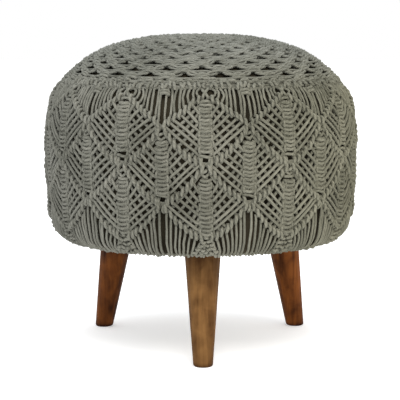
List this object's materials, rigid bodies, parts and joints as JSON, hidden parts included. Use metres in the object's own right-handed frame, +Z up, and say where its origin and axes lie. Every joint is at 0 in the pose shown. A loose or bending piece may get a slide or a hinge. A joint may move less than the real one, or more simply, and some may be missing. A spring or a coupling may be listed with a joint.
{
  "type": "macrame footstool",
  "caption": "Round padded footstool in a knotted cotton cord cover with a diamond net round its side, on splayed tapered wooden legs",
  "frame": {"origin": "on the floor under the centre of the drum", "axes": "+Z up, -Y to the front, where one leg stands, +X to the right as seen from the front"},
  "size_m": [0.4198, 0.4198, 0.4166],
  "materials": {
    "cord": "matt twisted cotton cord, sage grey-green",
    "inner_cloth": "matt dark olive cloth under the cords",
    "wood": "stained turned wood with an oiled sheen and dark knots"
  },
  "bodies": {
    "root": {"padded_core": "inner_cloth", "side_band": "cord", "top_panel": "cord", "leg_front": "wood", "leg_right": "wood", "leg_left": "wood"}
  },
  "joints": []
}
